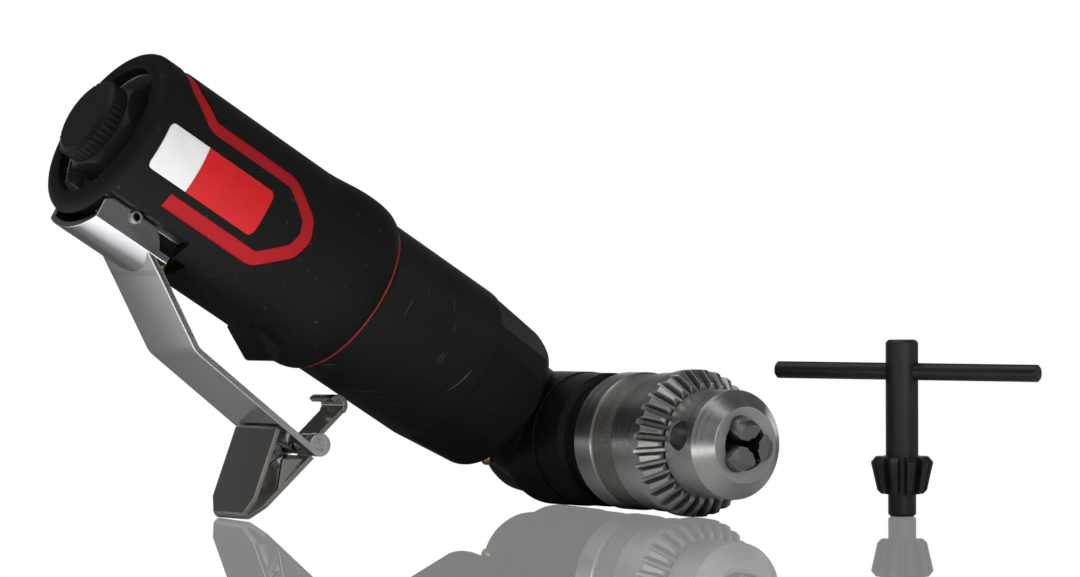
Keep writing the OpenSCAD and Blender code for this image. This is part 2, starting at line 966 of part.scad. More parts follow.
module rotor_bearings() {
    color("#b9bcc0")
        lay()
            for (x = [housing_front, motor_rear - bearing_w])
                tube_x(x, x + bearing_w, bearing_r, shaft_r + run);
}

// Inlet, dust plug and silencer

module inlet_bushing() {
    color("#232325")
        lay()
            difference() {
                union() {
                    rod_x(bush_front, recess_x, bush_thread_r);
                    rod_x(recess_x, recess_x + bush_flange, hex_w / 2);
                    intersection() {
                        rotate([hex_turn, 0, 0])
                            rod_x(recess_x + bush_flange, hex_rear, hex_w / sqrt(3), $fn = 6);
                        about_x([
                            [recess_x, 0],
                            [recess_x, hex_w],
                            [hex_rear - 1.2, hex_w / sqrt(3)],
                            [hex_rear, hex_w / 2 - 0.2],
                            [hex_rear, 0]
                        ]);
                    }
                }
                rod_x(bush_front - cut, hex_rear + cut, inlet_r);
            }
}

module dust_plug() {
    ribs = 40;
    color("#151516")
        lay()
            union() {
                translate([hex_rear, 0, 0])
                    rotate([0, 90, 0])
                        linear_extrude(plug_head - 0.7)
                            polygon([
                                for (i = [0:ribs - 1])
                                    each [
                                        polar(plug_r - 0.35, 360 * i / ribs),
                                        polar(plug_r, 360 * (i + 0.25) / ribs),
                                        polar(plug_r, 360 * (i + 0.6) / ribs),
                                        polar(plug_r - 0.35, 360 * (i + 0.85) / ribs)
                                    ]
                            ]);
                about_x([
                    [hex_rear - plug_stem, 0],
                    [hex_rear - plug_stem, inlet_r - 0.6],
                    [hex_rear - plug_stem + 1, inlet_r - run],
                    [hex_rear + 0.1, inlet_r - run],
                    [hex_rear + 0.1, plug_r - 0.4],
                    [hex_rear + plug_head - 0.7, plug_r - 0.4],
                    [hex_rear + plug_head, plug_r - 1.4],
                    [hex_rear + plug_head, 0]
                ]);
            }
}

module silencer() {
    color("#3a3632")
        lay()
            tube_x(recess_x, recess_x + bush_flange - 0.4, opening_r - seat, hex_w / 2 + seat);
}

// Spindle

module spindle() {
    color("#9c9fa3")
        lay()
            difference() {
                about_y([
                    [back_y + 2.4, 0],
                    [back_y + 2.4, journal_r],
                    [-bevel_small * cos(45) + 1, journal_r],
                    [-bevel_small * cos(45) + 1, bevel_bore],
                    [bevel_back, bevel_bore],
                    [bevel_back, spindle_r],
                    [spindle_bearing_y + spindle_bearing_w, spindle_r],
                    [spindle_bearing_y + spindle_bearing_w, flange_r],
                    [chuck_rear, flange_r],
                    [chuck_rear, stub_r],
                    [stub_front, stub_r],
                    [stub_front, 0]
                ]);
                rod_y(stub_front - 11, stub_front + cut, screw_r + seat);
            }
}

module spindle_bearing() {
    color("#b9bcc0")
        lay()
            tube_y(spindle_bearing_y, spindle_bearing_y + spindle_bearing_w - seat,
                spindle_bearing_r, spindle_r + run);
}

module spindle_bush() {
    color("#b08d4a")
        lay()
            tube_y(back_y + 2.4, -bevel_small + 0.8, bush_r, journal_r + run);
}

// Chuck: jaws slide in sloping bores and are driven by the nut inside the sleeve

screw_r = 2.4;

module around_chuck(turn) {
    for (i = [0:2])
        rotate([0, -(turn + 120 * i), 0])
            children();
}

module jaw_bar(r, from, to) {
    translate([jaw_tip_offset, jaw_tip, 0])
        rotate([0, 0, jaw_slope])
            rod_y(from, to, r);
}

module chuck_body() {
    color("#b4b7bb")
        lay()
            difference() {
                about_y([
                    [chuck_rear, stub_r + seat],
                    [chuck_rear, body_r],
                    [nose_rear, body_r],
                    [nose_rear, nose_r - 0.3],
                    [nose_rear + 0.3, nose_r],
                    [nose_front, nose_r],
                    [chuck_face, face_r],
                    [chuck_face, mouth_r + 0.5],
                    [chuck_face - 0.5, mouth_r],
                    [stub_front + 3.6, mouth_r],
                    [stub_front + 3.6, stub_r + seat]
                ]);
                around_chuck(key_hole_turn + 60)
                    jaw_bar(jaw_r + run, -3 * jaw_length, jaw_length);
                around_chuck(key_hole_turn)
                    translate([0, key_hole_y, 0])
                        rod_x(key_hole_bottom, nose_r + cut, key_hole_r);
            }
}

module chuck_sleeve() {
    cone = atan2(ring_r - tooth_end_r, tooth_end - tooth_start);
    cone_length = norm([ring_r - tooth_end_r, tooth_end - tooth_start]);
    tooth_pitch = 2 * PI * (ring_r + tooth_end_r) / 2 / ring_teeth;
    color("#a9acb0")
        lay()
            difference() {
                about_y([
                    [chuck_rear, body_r + run],
                    [chuck_rear, sleeve_r - 0.6],
                    [chuck_rear + 0.6, sleeve_r],
                    [band_rear, sleeve_r],
                    [band_rear + band_depth, sleeve_r - band_depth],
                    [band_front, sleeve_r - band_depth],
                    [band_front + band_depth, sleeve_r],
                    [tooth_rear, sleeve_r],
                    [tooth_rear + 0.4, ring_r],
                    [tooth_start, ring_r],
                    [tooth_end, tooth_end_r],
                    [tooth_end, body_r + run],
                    [lip_rear, body_r + run],
                    [lip_rear, nut_r + seat],
                    [nut_rear, nut_r + seat],
                    [nut_rear, cavity_sleeve_r],
                    [cavity_rear, cavity_sleeve_r],
                    [cavity_rear, body_r + run]
                ]);
                for (i = [0:ring_teeth - 1])
                    rotate([0, 360 * i / ring_teeth, 0])
                        translate([ring_r, tooth_start, 0])
                            rotate([0, 0, cone])
                                rotate([-90, 0, 0])
                                    translate([0, 0, -4])
                                        linear_extrude(cone_length + 8)
                                            polygon([
                                                [-tooth_depth, -0.12 * tooth_pitch],
                                                [cut, -0.48 * tooth_pitch],
                                                [cut, 0.48 * tooth_pitch],
                                                [-tooth_depth, 0.12 * tooth_pitch]
                                            ]);
            }
}

// Radius that the jaws' outer edges reach at a place along the chuck
function jaw_edge(y) = jaw_tip_offset + (jaw_tip - y) * tan(jaw_slope) + jaw_r / cos(jaw_slope);

module chuck_nut() {
    color("#8c8f93")
        lay()
            about_y([
                [nut_rear, jaw_edge(nut_rear) + 0.12],
                [nut_rear, nut_r],
                [nut_rear + nut_w, nut_r],
                [nut_rear + nut_w, jaw_edge(nut_rear + nut_w) + 0.12]
            ]);
}

module chuck_screw() {
    color("#55585c")
        lay()
            about_y([
                [stub_front - 10, 0],
                [stub_front - 10, screw_r],
                [stub_front, screw_r],
                [stub_front, stub_r - 0.5],
                [stub_front + 2.6, stub_r - 0.5],
                [stub_front + 3.2, stub_r - 1.1],
                [stub_front + 3.2, 0]
            ]);
}

module jaw(i) {
    color("#8d9094")
        lay()
            rotate([0, -(key_hole_turn + 60 + 120 * i), 0])
                difference() {
                    intersection() {
                        jaw_bar(jaw_r, -2 * jaw_length, jaw_length);
                        about_y([
                            [jaw_rear, 0],
                            [jaw_rear, jaw_trim_r],
                            [jaw_tip - 1.2, jaw_trim_r],
                            [jaw_tip - 1.2, jaw_tip_offset + 2.6],
                            [jaw_tip, jaw_tip_offset + 1.5],
                            [jaw_tip, 0]
                        ]);
                        slab(jaw_rear - cut, jaw_tip + cut)
                            polygon([
                                [wedge_tip, 0],
                                [wedge_tip + nose_r, nose_r * tan(60)],
                                [wedge_tip + nose_r, -nose_r * tan(60)]
                            ]);
                    }
                    rod_y(0, 2 * jaw_tip, jaw_opening);
                    rod_y(0, jaw_tip - jaw_land, jaw_opening + 0.35);
                }
}

// Lever: a trough with two ears over the grip, a sloping strip and a curl for the latch's pin

lever_path = rounded([
    [trough_front + 1, -slope_top],
    [bend_x, -bend_drop],
    [hinge_x, -hinge_drop - curl_r + lever_sheet / 2]
], 5);

module lever() {
    color("#c9ccd0")
        lay()
            difference() {
                union() {
                    lever_trough();
                    slab(-lever_w / 2, lever_w / 2)
                        polygon(band(lever_path, lever_sheet));
                    both_sides()
                        slab(knuckle_out + gap, lever_w / 2)
                            translate([hinge_x, -hinge_drop])
                                circle(curl_r);
                    both_sides()
                        slab(ear_in, lever_w / 2)
                            lever_ear();
                }
                translate([pivot_x, 0, -pivot_drop])
                    rod_y(-lever_w, lever_w, pivot_r + run);
                translate([hinge_x, 0, -hinge_drop])
                    rod_y(-lever_w, lever_w, hinge_r + seat);
                translate([hinge_x - curl_r - cut, -knuckle_out - gap, -hinge_drop - 2 * curl_r])
                    cube([2 * curl_r + cut + 2.2, 2 * (knuckle_out + gap), 4 * curl_r]);
            }
}

module lever_trough() {
    intersection() {
        tube_x(trough_front, trough_rear, trough_r + lever_sheet, trough_r);
        translate([trough_front - cut, -lever_w / 2, -2 * grip_r])
            cube([2 * grip_r, lever_w, 2 * grip_r]);
    }
}

module lever_ear() {
    edge_drop = sqrt(pow(trough_r, 2) - pow(lever_w / 2, 2)) + 0.3;
    polygon([
        [trough_front + 2.6, -edge_drop],
        [trough_front + 4.4, -pivot_drop - 0.6],
        [pivot_x - 3, 3 - pivot_drop],
        [pivot_x + 3, 3 - pivot_drop],
        [trough_rear, -pivot_drop - 0.4],
        [trough_rear, -edge_drop]
    ]);
}

module lever_pin() {
    color("#d4d6d9")
        lay()
            translate([pivot_x, 0, -pivot_drop])
                tube_y(-pivot_half, pivot_half, pivot_r, 0.55 * pivot_r);
}

// Latch: a hooked prop towards the housing, and a folded tab whose foot stands on the floor

prop_lean = 17.8;
hook_r = 1.85;
prop_base = [hinge_x - 1.3, -hinge_drop + 1.2];
hook_z = prop_rise - hinge_drop - hook_r - latch_sheet / 2;
prop_length = (hook_z - prop_base[1] - hook_r * sin(prop_lean)) / cos(prop_lean);
hook_centre = prop_base + turned([hook_r, prop_length], prop_lean);
hook_path = arc(hook_centre, hook_r, 180 + prop_lean, 5, 12);
prop_path = concat([prop_base], hook_path);
hook_w = prop_w + 1.2;
tab_path = rounded(tab_points, fold_r, 12);

module latch() {
    color("#c4c7cb")
        lay()
            difference() {
                union() {
                    slab(-prop_w / 2, prop_w / 2)
                        polygon(band(prop_path, latch_sheet));
                    slab(-hook_w / 2, hook_w / 2)
                        polygon(band(hook_path, latch_sheet));
                    both_sides()
                        slab(knuckle_in, knuckle_out)
                            translate([hinge_x, -hinge_drop])
                                circle(curl_r - 0.2);
                    intersection() {
                        slab(-latch_w / 2, latch_w / 2)
                            polygon(band(tab_path, latch_sheet));
                        rotate([90, 0, 90])
                            linear_extrude(2 * grip_rear)
                                polygon(tab_outline);
                    }
                    both_sides()
                        slab(latch_w / 2 - latch_sheet, latch_w / 2)
                            polygon([
                                [hinge_x + 1.6, -hinge_drop - 4.4],
                                [hinge_x + 6, -hinge_drop - 7],
                                [hinge_x + 3.6, -hinge_drop - 13.6]
                            ]);
                }
                translate([hinge_x, 0, -hinge_drop])
                    rod_y(-latch_w, latch_w, hinge_r + run);
                both_sides()
                    translate([hinge_x, 0, -hinge_drop])
                        rod_y(knuckle_out, latch_w, curl_r + gap);
                translate([hinge_x, 0, -hinge_drop])
                    rod_y(-knuckle_in, knuckle_in, curl_r + gap);
            }
}

// The tab seen along the handle: full width, drawn in and rounded at the foot
foot_low = hinge_drop + foot_drop - 2.6;
foot_shoulder = hinge_drop + foot_drop - 6;
tab_outline = concat(
    [
        [-latch_w / 2, 0],
        [-latch_w / 2, -foot_shoulder]
    ],
    arc([-foot_half + 2.6, -foot_low + 1], 2.6, 200, 262, 4),
    arc([foot_half - 2.6, -foot_low + 1], 2.6, 278, 340, 4),
    [
        [latch_w / 2, -foot_shoulder],
        [latch_w / 2, 0]
    ]
);

module latch_pin() {
    color("#b7babe")
        lay()
            translate([hinge_x, 0, -hinge_drop])
                rod_y(-lever_w / 2, lever_w / 2, hinge_r);
}

// Torsion spring on the latch's pin, with a leg under the lever and a leg behind the tab
coil_r = hinge_r + wire_d / 2 + 0.35;
coil_pitch = wire_d + 0.55;
coil_half = spring_turns * coil_pitch / 2;
coil_steps = 8;
coil_points = [
    for (i = [0:round(spring_turns * coil_steps)])
        let (a = -90 - 360 * i / coil_steps)
        [
            hinge_x + coil_r * cos(a),
            coil_half - coil_pitch * i / coil_steps,
            coil_r * sin(a) - hinge_drop
        ]
];
leg_end = coil_points[len(coil_points) - 1];
spring_points = concat(
    [[hinge_x + 6.2, coil_half, -hinge_drop - coil_r - 0.85]],
    coil_points,
    [leg_end + [3.1, 0, -4.6]]
);
echo(latch_spring_gap = least_gap(coil_points, wire_d, coil_steps - 1));

module latch_spring() {
    color("#9ea1a5")
        lay()
            wire(spring_points, wire_d);
}

// Throttle plunger under the lever, and the spring that returns it
plunger_ball = slope_top + (trough_front + 1 - plunger_x) * tan(slope_angle)
    - (lever_sheet / 2 + plunger_r + plunger_guard) / cos(slope_angle);
throttle_coil_r = plunger_r + 0.45;
throttle_turns = 3;
throttle_wire = 0.5;
throttle_high = valve_high + 0.5;
throttle_points = [
    for (i = [0:throttle_turns * coil_steps])
        let (a = 360 * i / coil_steps)
        [
            plunger_x + throttle_coil_r * cos(a),
            throttle_coil_r * sin(a),
            -throttle_low + (throttle_low - throttle_high) * i / (throttle_turns * coil_steps)
        ]
];
echo(throttle_spring_gap = least_gap(throttle_points, throttle_wire, coil_steps - 1));

module throttle_plunger() {
    color("#b08d4a")
        lay()
            translate([plunger_x, 0, 0])
                union() {
                    rod_z(-plunger_ball, -plunger_top - 1, plunger_r);
                    rod_z(-plunger_top - 1.2, -plunger_top + 2, plunger_r - 0.6);
                    rod_z(-throttle_low - 1.8, -throttle_low - 0.4, plunger_r + 0.8);
                    translate([0, 0, -plunger_ball])
                        sphere(plunger_r);
                }
}

module throttle_spring() {
    color("#9ea1a5")
        lay()
            wire(throttle_points, throttle_wire);
}

// Chuck key

module chuck_key() {
    tooth_lean = atan2(pinion_r - pinion_foot_r, pinion_top - pilot_length);
    color("#1c1c1e")
        stand_key()
            difference() {
                about_z([
                    [0, 0],
                    [0, pilot_r - 0.5],
                    [0.5, pilot_r],
                    [pilot_length, pilot_r],
                    [pilot_length, pinion_foot_r - 0.8],
                    [pilot_length + 0.8, pinion_foot_r],
                    [pinion_top - 1.2, pinion_r],
                    [pinion_top, pinion_r - 1],
                    [pinion_top, key_r],
                    [key_height - 0.6, key_r],
                    [key_height, key_r - 0.6],
                    [key_height, 0]
                ]);
                for (i = [0:key_teeth - 1])
                    rotate([0, 0, 360 * i / key_teeth])
                        translate([pinion_foot_r, 0, pilot_length])
                            rotate([0, tooth_lean, 0])
                                translate([0, 0, -2])
                                    linear_extrude(pinion_top - pilot_length + 4)
                                        polygon([
                                            [-1.7, -0.5],
                                            [cut, -1.35],
                                            [cut, 1.35],
                                            [-1.7, 0.5]
                                        ]);
                translate([0, 0, bar_z])
                    rod_x(-key_r - cut, key_r + cut, bar_r + seat);
            }
}

module chuck_key_bar() {
    color("#1c1c1e")
        stand_key()
            translate([bar_slide, 0, bar_z])
                about_x([
                    [-bar_length / 2, 0],
                    [-bar_length / 2, bar_r - 0.4],
                    [-bar_length / 2 + 0.4, bar_r],
                    [bar_length / 2 - 0.4, bar_r],
                    [bar_length / 2, bar_r - 0.4],
                    [bar_length / 2, 0]
                ]);
}

grip();
grip_inlay();
trim_ring();
motor_housing();
front_housing();
head_housing();
bearing_cap();
grease_nipple();
inlet_bushing();
dust_plug();
silencer();
cylinder_liner();
front_end_plate();
rear_end_plate();
rotor();
vanes();
rotor_bearings();
ring_gear();
planet_gear(0);  // planet_gear_1
planet_gear(1);  // planet_gear_2
planet_gear(2);  // planet_gear_3
planet_carrier();
planet_pins();
bevel_pinion();
pinion_bearings();
bevel_gear();
spindle();
spindle_bearing();
spindle_bush();
chuck_body();
chuck_sleeve();
chuck_nut();
chuck_screw();
jaw(0);  // jaw_1
jaw(1);  // jaw_2
jaw(2);  // jaw_3
lever();
lever_pin();
latch();
latch_pin();
latch_spring();
throttle_plunger();
throttle_spring();
chuck_key();
chuck_key_bar();
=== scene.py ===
import json
import math

import bpy
from mathutils import Euler, Matrix, Vector


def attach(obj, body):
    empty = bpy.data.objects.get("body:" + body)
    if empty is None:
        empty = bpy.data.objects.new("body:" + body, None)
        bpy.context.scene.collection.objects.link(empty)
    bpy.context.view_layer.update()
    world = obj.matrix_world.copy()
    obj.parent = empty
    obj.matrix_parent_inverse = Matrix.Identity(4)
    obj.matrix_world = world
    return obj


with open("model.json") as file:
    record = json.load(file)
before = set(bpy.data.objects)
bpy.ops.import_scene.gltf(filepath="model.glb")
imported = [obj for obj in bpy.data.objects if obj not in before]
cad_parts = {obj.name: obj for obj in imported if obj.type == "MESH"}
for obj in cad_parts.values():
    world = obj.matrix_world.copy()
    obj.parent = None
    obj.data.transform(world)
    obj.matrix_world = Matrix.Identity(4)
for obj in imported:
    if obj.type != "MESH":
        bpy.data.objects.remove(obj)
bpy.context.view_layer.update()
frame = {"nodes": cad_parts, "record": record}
MM = 0.001
WHITE = (1.0, 1.0, 1.0)

# How the drill lies. In its own frame +X runs to the rear, +Y to the chuck's nose and -Z to the lever.
LAY_TURN = Euler([math.radians(a) for a in (1.15177, -31.31234, 180.0)], "XYZ")
LAY_PLACE = Vector((34.73, 44.55, 15.358)) * MM
TOOL = Matrix.Translation(LAY_PLACE) @ LAY_TURN.to_matrix().to_4x4()
KEY_PLACE = Vector((74.13, -36.55, 0)) * MM


# Short ways to build node trees


class Nodes:
    """A shader node tree, with short ways to add and join its nodes."""

    def __init__(self, tree):
        self.tree = tree
        self.tree.nodes.clear()

    def add(self, kind, **inputs):
        node = self.tree.nodes.new(kind)
        for key, value in inputs.items():
            self.put(node.inputs[key.replace("_", " ")], value)
        return node

    def put(self, socket, value):
        if isinstance(value, bpy.types.NodeSocket):
            self.tree.links.new(value, socket)
        elif socket.type == "RGBA" and len(value) == 3:
            socket.default_value = (*value, 1.0)
        else:
            socket.default_value = value

    def math(self, operation, a, b):
        node = self.add("ShaderNodeMath")
        node.operation = operation
        self.put(node.inputs[0], a)
        self.put(node.inputs[1], b)
        return node.outputs[0]

    def dot(self, vector, direction):
        node = self.add("ShaderNodeVectorMath")
        node.operation = "DOT_PRODUCT"
        self.put(node.inputs[0], vector)
        self.put(node.inputs[1], direction)
        return node.outputs["Value"]

    def span(self, value, low, high, to_low, to_high):
        """The value carried from one range to another, and kept inside it."""
        node = self.add(
            "ShaderNodeMapRange", Value=value, From_Min=low, From_Max=high, To_Min=to_low, To_Max=to_high
        )
        return node.outputs["Result"]

    def vary(self, noise, low=0.0, high=1.0):
        """A value that wanders between two ends as a noise does."""
        return self.span(noise, 0.3, 0.7, low, high)

    def mix(self, factor, a, b):
        """A colour between two."""
        node = self.add("ShaderNodeMix")
        node.data_type = "RGBA"
        self.put(node.inputs["Factor"], factor)
        for socket, value in zip([s for s in node.inputs if s.type == "RGBA"], (a, b)):
            self.put(socket, value)
        return [s for s in node.outputs if s.type == "RGBA"][0]

    def blend(self, factor, a, b):
        """A shader between two."""
        node = self.add("ShaderNodeMixShader", Fac=factor)
        self.put(node.inputs[1], a)
        self.put(node.inputs[2], b)
        return node.outputs[0]

    def parts(self, vector):
        return self.add("ShaderNodeSeparateXYZ", Vector=vector).outputs

    def stretched(self, parts, factors):
        """A vector whose parts are each scaled by a factor."""
        x, y, z = [self.math("MULTIPLY", part, factor) for part, factor in zip(parts, factors)]
        return self.add("ShaderNodeCombineXYZ", X=x, Y=y, Z=z).outputs[0]

    def noise(self, vector, scale, detail=3.0, roughness=0.5):
        node = self.add("ShaderNodeTexNoise", Vector=vector, Scale=scale, Detail=detail, Roughness=roughness)
        return node.outputs["Fac"]

    def bump(self, height, strength, distance, normal):
        node = self.add(
            "ShaderNodeBump", Height=height, Strength=strength, Distance=distance, Normal=normal
        )
        return node.outputs["Normal"]

    def soft_edge(self, radius):
        node = self.add("ShaderNodeBevel", Radius=radius)
        node.samples = 4
        return node.outputs["Normal"]


class Look(Nodes):
    """A material made of nodes."""

    def __init__(self, name):
        self.material = bpy.data.materials.new(name)
        self.material.use_nodes = True
        super().__init__(self.material.node_tree)

    def point(self):
        return self.add("ShaderNodeTexCoord").outputs["Object"]

    def point_from(self, place, turn):
        """The shaded point in a frame that lies at a place and turn, in metres, in any pose of its body."""
        node = self.add("ShaderNodeMapping", Vector=self.point(), Location=place, Rotation=turn)
        node.vector_type = "TEXTURE"
        return node.outputs["Vector"]

    def tool_point(self):
        return self.point_from(LAY_PLACE, LAY_TURN)

    def key_point(self):
        return self.point_from(KEY_PLACE, Euler())

    def finish(self, shader):
        self.add("ShaderNodeOutputMaterial", Surface=shader)
        return self.material

    def surface(self, **inputs):
        return self.finish(self.add("ShaderNodeBsdfPrincipled", **inputs).outputs[0])


# Materials


def soft_rubber(name, colour, light, grain):
    """Cushion rubber with a fine grain, cloudy wear and a few specks of dust."""
    s = Look(name)
    p = s.tool_point()
    fine = s.noise(p, 2600.0, 4.0, 0.6)
    cloud = s.noise(p, 55.0, 4.0, 0.6)
    dust = s.span(s.noise(p, 900.0, 1.0, 0.4), 0.75, 0.775, 0.0, 0.15)
    return s.surface(
        Base_Color=s.mix(dust, s.mix(s.vary(cloud), colour, light), (0.16, 0.155, 0.15)),
        Roughness=s.vary(cloud, 0.6, 0.7),
        Specular_IOR_Level=0.12,
        Normal=s.bump(fine, grain, 0.12 * MM, s.soft_edge(0.4 * MM)),
    )


def moulded(name, colour, light, rough):
    """Plastic, felt or fibre with a faint cloud and a fine grain."""
    s = Look(name)
    p = s.tool_point()
    cloud = s.noise(p, 180.0, 4.0, 0.6)
    fine = s.noise(p, 2000.0, 3.0, 0.6)
    return s.surface(
        Base_Color=s.mix(s.vary(cloud), colour, light),
        Roughness=s.vary(cloud, rough, rough + 0.1),
        Specular_IOR_Level=0.16,
        Normal=s.bump(fine, 0.15, 0.1 * MM, s.soft_edge(0.3 * MM)),
    )


def black_paint(name, colour, worn, rough, scratch, casting):
    """Black metal with the pores of its casting, and slanted scratches that gather in patches."""
    s = Look(name)
    p = s.tool_point()
    cloud = s.noise(p, 70.0, 5.0, 0.6)
    pores = s.noise(p, 1500.0, 4.0, 0.6)
    x, y, z = s.parts(p)
    slanted = (
        s.math("ADD", x, s.math("MULTIPLY", y, 0.7)),
        y,
        s.math("SUBTRACT", z, s.math("MULTIPLY", x, 0.4)),
    )
    lines = s.noise(s.stretched(slanted, (2200.0, 70.0, 70.0)), 1.0, 1.0, 0.5)
    patches = s.noise(p, 120.0, 2.0, 0.5)
    scratches = s.math(
        "MULTIPLY",
        s.span(lines, 0.72, 0.76, 0.0, 1.0),
        s.span(patches, 0.5, 0.6, 0.0, scratch),
    )
    return s.surface(
        Base_Color=s.mix(scratches, colour, worn),
        Roughness=s.vary(cloud, rough, rough + 0.12),
        Specular_IOR_Level=0.14,
        Normal=s.bump(pores, casting, 0.2 * MM, s.soft_edge(0.6 * MM)),
    )


def turned_steel(name, colour, dark, rough, axis, blasted=None):
    """Steel with turning marks around an axis, which draw each reflection out along that axis.

    Corners and gaps are darkened with painted shade, where an occlusion node finds other surfaces near. A
    blasted stretch, given by its ends along the axis, is grainy and matt.
    """
    s = Look(name)
    p = s.tool_point()
    along = "XYZ".index(axis)

    def marks(fine, coarse):
        factors = [fine if i == along else coarse for i in range(3)]
        return s.noise(s.stretched(s.parts(p), factors), 1.0, 3.0, 0.6)

    around = s.add("ShaderNodeTangent")
    around.direction_type = "RADIAL"
    around.axis = axis
    stain = s.noise(p, 90.0, 4.0, 0.6)
    tint = s.mix(s.span(stain, 0.35, 0.7, 0.0, 0.6), colour, dark)
    polish = s.vary(marks(1500.0, 25.0), rough, rough + 0.1)
    if blasted is not None:
        place = s.parts(p)[along]
        past_start = s.math("GREATER_THAN", place, blasted[0])
        before_end = s.math("LESS_THAN", place, blasted[1])
        inside = s.math("MULTIPLY", past_start, before_end)
        grain = s.span(s.noise(p, 2200.0, 3.0, 0.6), 0.35, 0.65, 0.5, 1.0)
        tint = s.mix(s.math("MULTIPLY", inside, grain), tint, (0.22, 0.205, 0.185))
        polish = s.math("ADD", polish, s.math("MULTIPLY", inside, 0.17))
    # Painted shade: the colour darkens to a deep grey in corners, in gaps and between teeth.
    open_air = s.add("ShaderNodeAmbientOcclusion", Distance=2.5 * MM).outputs["AO"]
    painted_gap_shade = [0.25 * part for part in dark]
    return s.surface(
        Base_Color=s.mix(s.span(open_air, 0.25, 0.95, 0.0, 1.0), painted_gap_shade, tint),
        Metallic=1.0,
        Roughness=polish,
        Anisotropic=0.35,
        Anisotropic_Rotation=0.25,
        Tangent=around.outputs[0],
        Normal=s.bump(marks(9000.0, 60.0), 0.12, 0.05 * MM, s.soft_edge(0.25 * MM)),
    )


def plated_sheet(name, colour, hazy):
    """Plated sheet metal with faint rolling lines and a haze."""
    s = Look(name)
    p = s.tool_point()
    rolled = s.noise(s.stretched(s.parts(p), (45.0, 1500.0, 45.0)), 1.0)
    haze = s.noise(p, 60.0, 4.0, 0.6)
    return s.surface(
        Base_Color=s.mix(s.vary(haze), colour, hazy),
        Metallic=1.0,
        Roughness=s.vary(haze, 0.1, 0.18),
        Normal=s.bump(rolled, 0.05, 0.06 * MM, s.soft_edge(0.35 * MM)),
    )


def black_oxide(name, colour, light):
    """The key's blackened steel, with small pits."""
    s = Look(name)
    p = s.key_point()
    cloud = s.noise(p, 130.0, 5.0, 0.6)
    pits = s.noise(p, 1300.0, 4.0, 0.6)
    return s.surface(
        Base_Color=s.mix(s.span(cloud, 0.3, 0.75, 0.0, 1.0), colour, light),
        Metallic=0.25,
        Roughness=s.vary(cloud, 0.36, 0.5),
        Normal=s.bump(pits, 0.18, 0.12 * MM, s.soft_edge(0.4 * MM)),
    )


def bright_brass(name, colour, dark):
    s = Look(name)
    cloud = s.noise(s.tool_point(), 400.0, 3.0, 0.5)
    return s.surface(
        Base_Color=s.mix(s.vary(cloud), colour, dark),
        Metallic=1.0,
        Roughness=s.vary(cloud, 0.2, 0.32),
        Normal=s.soft_edge(0.2 * MM),
    )


# The blasted ring of the chuck's sleeve, by its ends along the chuck's axis
SLEEVE_RING = (38.3 * MM, 46.5 * MM)

# The look of each material slot
LOOKS = {
    "soft_grip": soft_rubber(
        "soft_grip", colour=(0.0045, 0.0045, 0.0047), light=(0.0065, 0.0065, 0.0068), grain=0.25
    ),
    "red_inlay": soft_rubber(
        "red_inlay", colour=(0.33, 0.009, 0.013), light=(0.4, 0.013, 0.018), grain=0.15
    ),
    "red_trim": moulded("red_trim", colour=(0.2, 0.02, 0.015), light=(0.27, 0.03, 0.02), rough=0.5),
    "black_plastic": moulded(
        "black_plastic", colour=(0.0055, 0.0055, 0.0057), light=(0.009, 0.009, 0.0093), rough=0.45
    ),
    "filter_felt": moulded(
        "filter_felt", colour=(0.02, 0.019, 0.018), light=(0.045, 0.042, 0.038), rough=0.85
    ),
    "vane_fibre": moulded("vane_fibre", colour=(0.2, 0.11, 0.06), light=(0.26, 0.15, 0.08), rough=0.7),
    "black_front": black_paint(
        "black_front",
        colour=(0.007, 0.007, 0.0073),
        worn=(0.16, 0.155, 0.15),
        rough=0.5,
        scratch=0.7,
        casting=0.1,
    ),
    "black_cast": black_paint(
        "black_cast",
        colour=(0.007, 0.007, 0.0072),
        worn=(0.05, 0.05, 0.05),
        rough=0.32,
        scratch=0.3,
        casting=0.9,
    ),
    "black_steel": black_paint(
        "black_steel",
        colour=(0.016, 0.016, 0.017),
        worn=(0.1, 0.1, 0.1),
        rough=0.36,
        scratch=0.3,
        casting=0.12,
    ),
    "bare_aluminium": turned_steel(
        "bare_aluminium", colour=(0.6, 0.61, 0.62), dark=(0.45, 0.46, 0.47), rough=0.3, axis="X"
    ),
    "gear_steel": turned_steel(
        "gear_steel", colour=(0.42, 0.43, 0.45), dark=(0.3, 0.31, 0.32), rough=0.34, axis="X"
    ),
    "ground_steel": turned_steel(
        "ground_steel", colour=(0.62, 0.63, 0.65), dark=(0.5, 0.51, 0.53), rough=0.2, axis="Y"
    ),
    "chuck_steel": turned_steel(
        "chuck_steel",
        colour=(0.54, 0.53, 0.515),
        dark=(0.43, 0.42, 0.405),
        rough=0.26,
        axis="Y",
        blasted=SLEEVE_RING,
    ),
    # The jaws' steel is darker than the sleeve's, partly its own tone and partly painted shade for the dark
    # hollow of the chuck's nose.
    "jaw_steel": turned_steel(
        "jaw_steel", colour=(0.26, 0.26, 0.26), dark=(0.15, 0.15, 0.15), rough=0.3, axis="Y"
    ),
    "plated_sheet": plated_sheet("plated_sheet", colour=(0.7, 0.71, 0.73), hazy=(0.6, 0.61, 0.63)),
    "black_oxide": black_oxide("black_oxide", colour=(0.008, 0.0078, 0.008), light=(0.02, 0.019, 0.02)),
    "brass": bright_brass("brass", colour=(0.78, 0.52, 0.2), dark=(0.6, 0.38, 0.13)),
}

# The latch is plated darker and warmer than the lever, which has the same slot
NODE_LOOKS = {"latch": plated_sheet("dark_nickel", colour=(0.44, 0.42, 0.395), hazy=(0.36, 0.343, 0.32))}

slot_of = {item["node"]: item["material_slot"] for item in frame["record"]["subparts"]}
for name, obj in frame["nodes"].items():
    obj.data.materials.clear()
    obj.data.materials.append(NODE_LOOKS.get(name, LOOKS[slot_of[name]]))


# Pieces that the scene adds


def add_object(name, data):
    obj = bpy.data.objects.new(name, data)
    bpy.context.scene.collection.objects.link(obj)
    return obj


